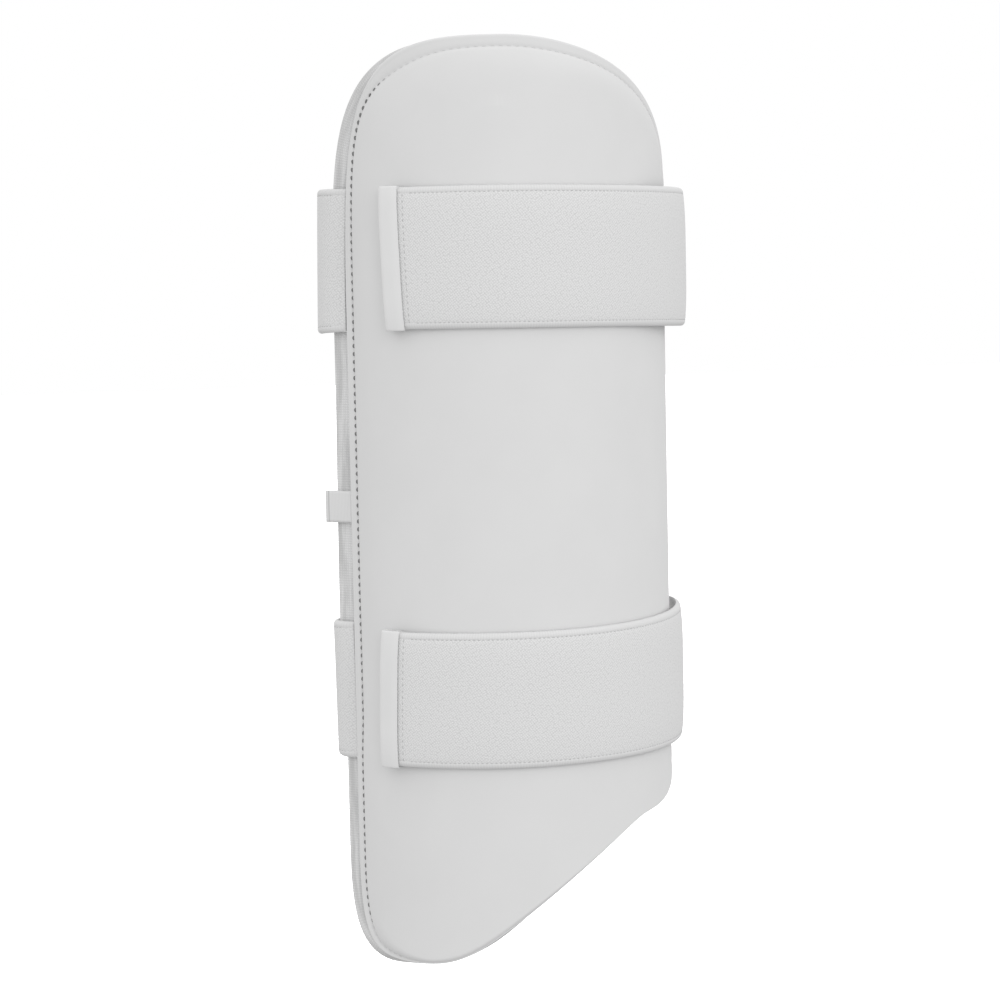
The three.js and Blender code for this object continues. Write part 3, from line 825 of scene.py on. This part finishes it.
def strap_tab(strap, path):
    """A tab: its section carried across the strap's width, with the outside rounded off at the two ends."""
    section = tab_section()
    half = strap["width"] / 2
    reach = half + TAB_EXTRA
    turn = np.linspace(0, math.pi / 2, 8)
    ends = reach - TAB_ROUND * (1 - np.sin(turn))
    height = np.concatenate([-ends[::-1], np.linspace(-reach + 2, reach - 2, TAB_ROWS), ends])
    shrink = TAB_ROUND * (1 - np.cos(turn)) * TAB_SIDE_DRAW
    shrink = np.concatenate([shrink[::-1], np.zeros(TAB_ROWS), shrink])[:, None]
    u, v = section.T
    outside = np.abs(v) > STRAP_THICK / 2 + TAB_SLOT_GAP + 0.05
    v = v - np.sign(v) * outside * shrink
    u = u - (u > TAB_LENGTH - TAB_THICK / 2) * shrink * TAB_NOSE_DRAW
    column = (height / half)[:, None]
    on_strap = np.clip(column, -1, 1)
    start = strap["end"] + np.degrees((TAB_SLOT_DEPTH - TAB_END_GAP) / ROLL_RADIUS)
    angle = start + lean_at(strap, on_strap) - np.degrees(u / ROLL_RADIUS)
    middle = read_path(path, angle - 360) + curl_at(on_strap, angle - 360) + STRAP_THICK / 2
    points = polar(angle, middle + v, band_height(strap, column, angle - 360))
    return swept_solid(points, grid(lengths(section), height[:, None]))


def seam_label():
    """A folded label: a round ended section that leaves the seam on the rim's slope, carried up its height.

    Its sides bow out a little, as half a sine along the section and up the height.
    """
    start = -HALF_WIDTH - LABEL_START
    tilt = math.atan(FLARE_SLOPE)
    turn = start / ROLL_RADIUS
    base = roll(start, 0.0, BACKING_RADIUS + FLARE + FLARE_SLOPE * LABEL_START + FACE_UNDER)
    outward = np.array([math.sin(turn), -math.cos(turn), 0.0])
    backward = np.array([-math.cos(turn), -math.sin(turn), 0.0])
    along = backward * math.cos(tilt) + outward * math.sin(tilt)
    up = outward * math.cos(tilt) - backward * math.sin(tilt)
    half = LABEL_THICK / 2
    fold = np.linspace(math.pi / 2, -math.pi / 2, FOLD_POINTS)
    run = np.linspace(0, LABEL_LENGTH - LABEL_THICK, LABEL_POINTS)
    side = np.full(LABEL_POINTS, LABEL_THICK)
    u = np.concatenate([run, LABEL_LENGTH - half + half * np.cos(fold), run[::-1]])
    v = np.concatenate([side, half + half * np.sin(fold), side - LABEL_THICK])
    folded = run[-1] + np.linspace(0.3, LABEL_FOLD - 0.3, FOLD_POINTS)
    cloth_run = np.concatenate([run, folded, 2 * run[-1] + LABEL_FOLD - run[::-1]])
    share = np.linspace(-0.5, 0.5, 13)[:, None]
    bow = LABEL_BOW * np.sin(u / LABEL_LENGTH * math.pi) * np.cos(share * math.pi)
    points = base + u[:, None] * along + (v + bow)[..., None] * up
    points[..., 2] = LABEL_Z + share * LABEL_HEIGHT
    return swept_solid(points, grid(cloth_run, share * LABEL_HEIGHT))


# Materials

# Sockets of a Mix node for colours: its share, its two colours and the colour it gives.
MIX_SHARE = 0
MIX_FIRST = 6
MIX_SECOND = 7
MIX_COLOUR = 2


def colour(code):
    """Linear colour from an sRGB hex code."""
    parts = [int(code[i:i + 2], 16) / 255 for i in (1, 3, 5)]
    return [p / 12.92 if p <= 0.04045 else ((p + 0.055) / 1.055) ** 2.4 for p in parts] + [1.0]


def add(tree, kind, inputs=None, **options):
    """Adds a node, sets its options, and gives each input a value or a link.

    A link comes from another node's output, or from a whole node, which stands for its first output.
    """
    made = tree.nodes.new(kind)
    for key, value in options.items():
        setattr(made, key, value)
    for key, value in (inputs or {}).items():
        if isinstance(value, bpy.types.Node):
            value = value.outputs[0]
        if isinstance(value, bpy.types.NodeSocket):
            tree.links.new(value, made.inputs[key])
        else:
            made.inputs[key].default_value = value
    return made


def new_material(name):
    """A node material with its tree emptied."""
    material = bpy.data.materials.new(name)
    material.use_nodes = True
    material.node_tree.nodes.clear()
    return material, material.node_tree


def surface(tree, inputs):
    """Ends a material's tree with a shader that has these inputs."""
    shader = add(tree, "ShaderNodeBsdfPrincipled", inputs)
    add(tree, "ShaderNodeOutputMaterial", {"Surface": shader})


def tinted(tree, value, span, codes):
    """Colour that goes from the first code to the second while a value crosses a span."""
    share = add(tree, "ShaderNodeMapRange", {"Value": value, "From Min": span[0], "From Max": span[1]})
    return add(tree, "ShaderNodeMix", {
        MIX_SHARE: share, MIX_FIRST: colour(codes[0]), MIX_SECOND: colour(codes[1]),
    }, data_type="RGBA").outputs[MIX_COLOUR]


def wave_scale(pitch):
    """Scale that sets a wave texture's bands a pitch apart. At scale 1 they are 2 pi / 20 apart."""
    return 2 * math.pi / 20 / pitch


def moulded_pu():
    """PU skin pressed in a mould: matt and even, with a fine leather grain that only breaks the highlights.

    The grains are 0.77 mm wide. A change of tint that is hardly seen has patches of about 22 mm.
    """
    material, tree = new_material("moulded_pu_skin")
    place = add(tree, "ShaderNodeTexCoord").outputs["Object"]
    cells = {"Vector": place, "Scale": 1 / (0.769 * MM)}
    grain = add(tree, "ShaderNodeTexVoronoi", cells, feature="SMOOTH_F1")
    patch = add(tree, "ShaderNodeTexNoise", {"Vector": place, "Scale": 1 / (22.2 * MM), "Detail": 4.0})
    surface(tree, {
        "Base Color": tinted(tree, patch, (0.3, 0.7), ("#dadada", "#dcdcdc")),
        "Normal": add(tree, "ShaderNodeBump", {"Height": grain, "Strength": 0.12, "Distance": 0.08 * MM}),
        "Roughness": 0.62,
        "Specular IOR Level": 0.3,
    })
    return material


def air_mesh():
    """Warp knitted polyester mesh: fine ribs 1.1 mm apart with painted shade in the hollows between them,
    and soft darker streaks along the rim.

    The streaks, about 29 mm long and 3.3 mm wide, show where the knit is stretched over the rim. Nearer to
    the thigh's axis than the rim, where the cloth lies flat as the lining, they fade out over 3 mm.
    """
    material, tree = new_material("knitted_polyester_mesh")
    place = add(tree, "ShaderNodeUVMap", uv_map=CLOTH)
    wave = {"Vector": place, "Scale": wave_scale(1.1), "Distortion": 0.8}
    ribs = add(tree, "ShaderNodeTexWave", wave, bands_direction="X").outputs["Fac"]
    wales = add(tree, "ShaderNodeTexWave", wave, bands_direction="Y").outputs["Fac"]
    knit = add(tree, "ShaderNodeMath", {0: ribs, 1: wales}, operation="MULTIPLY")
    drawn = add(tree, "ShaderNodeMapping", {"Vector": place, "Scale": (1 / 28.57, 1 / 3.333, 1)})
    streak = {"Vector": drawn, "Scale": 1.0, "Detail": 3.0}
    streaks = add(tree, "ShaderNodeTexNoise", streak, noise_dimensions="2D")
    solid = add(tree, "ShaderNodeTexCoord").outputs["Object"]
    level = add(tree, "ShaderNodeVectorMath", {0: solid, 1: (1, 1, 0)}, operation="MULTIPLY")
    radius = add(tree, "ShaderNodeVectorMath", {0: level}, operation="LENGTH").outputs["Value"]
    lining = BACKING_RADIUS - BACKING_THICK
    rim = add(tree, "ShaderNodeMapRange", {
        "Value": radius, "From Min": lining * MM, "From Max": (lining + 3) * MM,
    })
    uneven = add(tree, "ShaderNodeMath", {0: streaks, 1: 0.5}, operation="SUBTRACT")
    stretch = add(tree, "ShaderNodeMath", {0: uneven, 1: rim}, operation="MULTIPLY")
    yarn = tinted(tree, stretch, (-0.15, 0.15), ("#d0d0d0", "#e6e6e6"))
    # Painted shade: the hollows between the ribs and wales, where the bump is lowest, get a darker colour
    # than the yarn.
    painted_hole_shade = tinted(tree, stretch, (-0.15, 0.15), ("#c2c2c2", "#d6d6d6"))
    tint = add(tree, "ShaderNodeMix", {
        MIX_SHARE: knit, MIX_FIRST: painted_hole_shade, MIX_SECOND: yarn,
    }, data_type="RGBA").outputs[MIX_COLOUR]
    surface(tree, {
        "Base Color": tint,
        "Normal": add(tree, "ShaderNodeBump", {"Height": knit, "Strength": 0.3, "Distance": 0.4 * MM}),
        "Roughness": 0.9,
        "Specular IOR Level": 0.2,
    })
    return material


def woven_elastic():
    """Woven elastic: uneven grains, 1.05 to the millimetre, in slanting rows, between two plain selvedges.

    The cloth place gives the distance from the edge, so the rows stop at the sewn lines. The selvedges have
    fine ribs across them, 1.2 mm apart. Painted shade darkens the gaps between the grains and between the
    ribs.
    """
    material, tree = new_material("woven_elastic")
    place = add(tree, "ShaderNodeUVMap", uv_map=CLOTH)
    across = add(tree, "ShaderNodeSeparateXYZ", {0: place}).outputs["Y"]
    off_middle = add(tree, "ShaderNodeMath", {0: across}, operation="ABSOLUTE")
    inside = add(tree, "ShaderNodeMath", {0: CLOTH_HALF, 1: off_middle}, operation="SUBTRACT")
    field = add(tree, "ShaderNodeMapRange", {"Value": inside, "From Min": HEM - 0.6, "From Max": HEM + 0.6})
    lattice = add(tree, "ShaderNodeMapping", {
        "Vector": place, "Rotation": (0, 0, math.radians(36)), "Scale": (1.05, 1.05, 1),
    })
    weave = {"Vector": lattice, "Scale": 1.0, "Randomness": 0.4}
    pebbles = add(tree, "ShaderNodeTexVoronoi", weave, voronoi_dimensions="2D")
    wave = {"Vector": place, "Scale": wave_scale(1.2083), "Distortion": 0.6}
    ribs = add(tree, "ShaderNodeTexWave", wave, bands_direction="X").outputs["Fac"]
    # Painted shade: each grain is lighter at its middle and darker towards the gaps between grains, where
    # the bump sinks.
    yarn = tinted(tree, pebbles, (0.15, 0.75), ("#e3e3e3", "#d0d0d0"))
    # Painted shade: the selvedge is darker between its ribs, where the bump is low.
    selvedge = tinted(tree, ribs, (0.0, 1.0), ("#d5d5d5", "#dadada"))
    tint = add(tree, "ShaderNodeMix", {
        MIX_SHARE: field, MIX_FIRST: selvedge, MIX_SECOND: yarn,
    }, data_type="RGBA").outputs[MIX_COLOUR]
    hollow = add(tree, "ShaderNodeMath", {0: field, 1: pebbles}, operation="MULTIPLY")
    border = add(tree, "ShaderNodeMath", {0: 1.0, 1: field}, operation="SUBTRACT")
    ridge = add(tree, "ShaderNodeMath", {0: border, 1: ribs}, operation="MULTIPLY")
    low_ridge = add(tree, "ShaderNodeMath", {0: ridge, 1: 0.1}, operation="MULTIPLY")
    height = add(tree, "ShaderNodeMath", {0: low_ridge, 1: hollow}, operation="SUBTRACT")
    surface(tree, {
        "Base Color": tint,
        "Normal": add(tree, "ShaderNodeBump", {"Height": height, "Strength": 0.4, "Distance": 0.5 * MM}),
        "Roughness": 0.85,
        "Specular IOR Level": 0.25,
    })
    return material


def pu_film():
    """Smooth PU film over the pull tab: cleaner and a little glossier than the face, in waves of 17 mm."""
    material, tree = new_material("smooth_pu_film")
    place = add(tree, "ShaderNodeTexCoord").outputs["Object"]
    waves = add(tree, "ShaderNodeTexNoise", {"Vector": place, "Scale": 1 / (16.67 * MM), "Detail": 2.0})
    surface(tree, {
        "Base Color": tinted(tree, waves, (0.3, 0.7), ("#dddddd", "#e0e0e0")),
        "Normal": add(tree, "ShaderNodeBump", {"Height": waves, "Strength": 0.1, "Distance": 0.8 * MM}),
        "Roughness": 0.5,
    })
    return material


def thread(name, code):
    """Twisted polyester thread: slanting ply lines, 0.63 mm apart, round each stitch."""
    material, tree = new_material(name)
    place = add(tree, "ShaderNodeUVMap", uv_map=CLOTH)
    wave = {"Vector": place, "Scale": wave_scale(0.6283)}
    ply = add(tree, "ShaderNodeTexWave", wave, bands_direction="DIAGONAL").outputs["Fac"]
    surface(tree, {
        "Base Color": colour(code),
        "Normal": add(tree, "ShaderNodeBump", {"Height": ply, "Strength": 0.4, "Distance": 0.2 * MM}),
        "Roughness": 0.7,
    })
    return material


def woven_satin():
    """Woven satin label: fine ribs along the fold, 0.79 mm apart, and a pressed line beside it; painted
    shade darkens the pressed line and the hollows between the ribs.
    """
    material, tree = new_material("woven_satin")
    place = add(tree, "ShaderNodeUVMap", uv_map=CLOTH)
    run = add(tree, "ShaderNodeSeparateXYZ", {0: place}).outputs["X"]
    wave = {"Vector": place, "Scale": wave_scale(0.7854), "Distortion": 0.5}
    ribs = add(tree, "ShaderNodeTexWave", wave, bands_direction="X").outputs["Fac"]
    # Painted shade: darker between the ribs, where the bump is low.
    weave = tinted(tree, ribs, (0.0, 1.0), ("#d6d6d6", "#dedede"))
    past_crease = add(tree, "ShaderNodeMath", {0: run, 1: LABEL_CREASE}, operation="SUBTRACT")
    beside = add(tree, "ShaderNodeMath", {0: past_crease}, operation="ABSOLUTE")
    unpressed = add(tree, "ShaderNodeMapRange", {"Value": beside, "From Min": 0.1, "From Max": 0.5})
    # Painted shade: the pressed line is painted a darker grey, for the shade in the crease.
    tint = add(tree, "ShaderNodeMix", {
        MIX_SHARE: unpressed, MIX_FIRST: colour("#bdbdbd"), MIX_SECOND: weave,
    }, data_type="RGBA").outputs[MIX_COLOUR]
    low_ribs = add(tree, "ShaderNodeMath", {0: ribs, 1: 0.4}, operation="MULTIPLY")
    height = add(tree, "ShaderNodeMath", {0: unpressed, 1: low_ribs}, operation="ADD")
    surface(tree, {
        "Base Color": tint,
        "Normal": add(tree, "ShaderNodeBump", {"Height": height, "Strength": 0.3, "Distance": 0.2 * MM}),
        "Roughness": 0.6,
    })
    return material


# Pieces

PU_SKIN = moulded_pu()
MESH_CLOTH = air_mesh()
ELASTIC = woven_elastic()
TAB_FILM = pu_film()
SEAM_THREAD = thread("grey_seam_thread", "#757575")
PALE_THREAD = thread("pale_thread", "#c4c4c4")
SATIN = woven_satin()


def make_pad():
    """The moulded face, the backing under it, the seam that joins them and the lining's stitch row."""
    face = mesh_piece("moulded_face", ring_solid(*face_section()), PU_SKIN)
    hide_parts("face_shell")
    backing = mesh_piece("mesh_backing", ring_solid(*backing_section(), flat_bands=2), MESH_CLOTH)
    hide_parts("backing_pad")
    sewn = sewn_points()
    line, outward = edge_line(-groove_line(), raised(FLANGE_HEIGHT) - STITCH_SUNK * groove_depth())
    stitches = stitch_row(line[sewn], outward[sewn], **FLANGE_STITCH, size=stitch_size()[sewn])
    mesh_piece("flange_stitches", stitches, SEAM_THREAD)
    line, outward = edge_line(np.full(COUNT, -GROOVE_Q), -BACKING_THICK)
    close = [*range(COUNT), 0]
    mesh_piece("lining_stitches", stitch_row(line[close], -outward[close], **LINING_STITCH), PALE_THREAD)


def make_strap(name, strap, path):
    """An elastic strap, its stitch rows, and the pull tab on its free end."""
    band = mesh_piece(f"{name}_elastic", strap_band(strap, path), ELASTIC)
    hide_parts(f"{name}_strap")
    mesh_piece(f"{name}_elastic_stitches", strap_stitches(strap, path), PALE_THREAD)
    tab = mesh_piece(f"{name}_pull_tab", strap_tab(strap, path), TAB_FILM)
    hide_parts(f"{name}_strap_tab")


def make_label():
    """The folded label in the left seam."""
    label = mesh_piece("seam_label", seam_label(), SATIN)
    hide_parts("label_tab")


# Stage

# The floor and the key light are in metres, the camera's lens and place in millimetres.
FLOOR_Z = -0.6
FLOOR_SIZE = 40.0
FLOOR_SUN = 3.0
SKY_LOW = 0.58
SKY_HIGH = 1.14
KEY_AZIMUTH = math.radians(2)
KEY_ELEVATION = math.radians(23)
KEY_DISTANCE = 1.6
KEY_SIZE = 0.75
KEY_POWER = 3.65
LENS = 94.74
CAMERA_TURN = math.radians(21)
CAMERA_PITCH = math.radians(4.346)
CAMERA_ROLL = math.radians(1.2)
CAMERA_REACH = 1189.2
CAMERA_SIDE = -0.45
CAMERA_HEIGHT = 88.1


def make_floor():
    """A wide pale floor well below the pad, which hangs free as it is worn, with a sun of its own.

    Only the camera sees the floor, so the shade under the pad stays as soft as in a studio tent.
    """
    half = FLOOR_SIZE / 2
    corners = [(x * half, y * half, FLOOR_Z) for x, y in ((-1, -1), (1, -1), (1, 1), (-1, 1))]
    mesh = bpy.data.meshes.new("floor")
    mesh.from_pydata(corners, [], [(0, 1, 2, 3)])
    material, tree = new_material("matt_white_floor")
    surface(tree, {"Base Color": colour("#f8f8f8"), "Roughness": 1.0, "Specular IOR Level": 0.0})
    mesh.materials.append(material)
    floor = bpy.data.objects.new("floor", mesh)
    floor.visible_diffuse = False
    floor.visible_glossy = False
    floor.visible_shadow = False
    bpy.context.scene.collection.objects.link(floor)
    only_floor = bpy.data.collections.new("floor_light")
    only_floor.objects.link(floor)
    sun = bpy.data.objects.new("floor_sun", bpy.data.lights.new("floor_sun", "SUN"))
    sun.data.energy = FLOOR_SUN
    sun.light_linking.receiver_collection = only_floor
    bpy.context.scene.collection.objects.link(sun)


def make_world():
    """Even light from a white tent, dimmer from below. The camera sees the tent itself as plain white."""
    world = bpy.data.worlds.new("studio")
    world.use_nodes = True
    tree = world.node_tree
    direction = add(tree, "ShaderNodeTexCoord").outputs["Generated"]
    height = add(tree, "ShaderNodeSeparateXYZ", {0: direction}).outputs["Z"]
    tent = add(tree, "ShaderNodeMapRange", {
        "Value": height, "From Min": -0.7, "From Max": 0.7, "To Min": SKY_LOW, "To Max": SKY_HIGH,
    })
    seen = add(tree, "ShaderNodeLightPath").outputs["Is Camera Ray"]
    strength = add(tree, "ShaderNodeMix", {0: seen, 2: tent, 3: 1.0})
    sky = tree.nodes["Background"]
    sky.inputs["Color"].default_value = (1, 1, 1, 1)
    tree.links.new(strength.outputs[0], sky.inputs["Strength"])
    bpy.context.scene.world = world


def put(name, data, axes, place):
    """Puts a light or a camera at a place in metres, with its right, upward and backward directions."""
    item = bpy.data.objects.new(name, data)
    turn = np.eye(4)
    turn[:3] = np.stack([*axes, place], axis=-1)
    item.matrix_world = Matrix(turn.tolist())
    bpy.context.scene.collection.objects.link(item)
    return item


def make_key_light():
    """A square soft light in front of the pad, above it, that looks at its middle."""
    level = np.array([math.sin(KEY_AZIMUTH), -math.cos(KEY_AZIMUTH), 0])
    toward = level * math.cos(KEY_ELEVATION) + np.array([0, 0, math.sin(KEY_ELEVATION)])
    right = np.cross([0, 0, 1], toward)
    right = right / np.linalg.norm(right)
    data = bpy.data.lights.new("key", "AREA")
    data.size = KEY_SIZE
    data.energy = KEY_POWER
    put("key", data, (right, np.cross(toward, right), toward), toward * KEY_DISTANCE)


def make_camera():
    """The photograph's view: from 21 degrees left of the front, a little above the middle, tilted a bit."""
    right = np.array([math.cos(CAMERA_TURN), -math.sin(CAMERA_TURN), 0])
    level = np.array([math.sin(CAMERA_TURN), math.cos(CAMERA_TURN), 0])
    forward = level * math.cos(CAMERA_PITCH) - np.array([0, 0, math.sin(CAMERA_PITCH)])
    up = np.cross(right, forward)
    tilted_right = right * math.cos(CAMERA_ROLL) - up * math.sin(CAMERA_ROLL)
    tilted_up = up * math.cos(CAMERA_ROLL) + right * math.sin(CAMERA_ROLL)
    place = (-level * CAMERA_REACH + right * CAMERA_SIDE + np.array([0, 0, CAMERA_HEIGHT])) * MM
    data = bpy.data.cameras.new("camera")
    data.lens = LENS
    bpy.context.scene.camera = put("camera", data, (tilted_right, tilted_up, -forward), place)


make_camera()
make_pad()
make_strap("upper", UPPER_STRAP, UPPER_PATH)
make_strap("lower", LOWER_STRAP, LOWER_PATH)
make_label()
make_floor()
make_world()
make_key_light()
bpy.context.scene.view_settings.view_transform = "Standard"
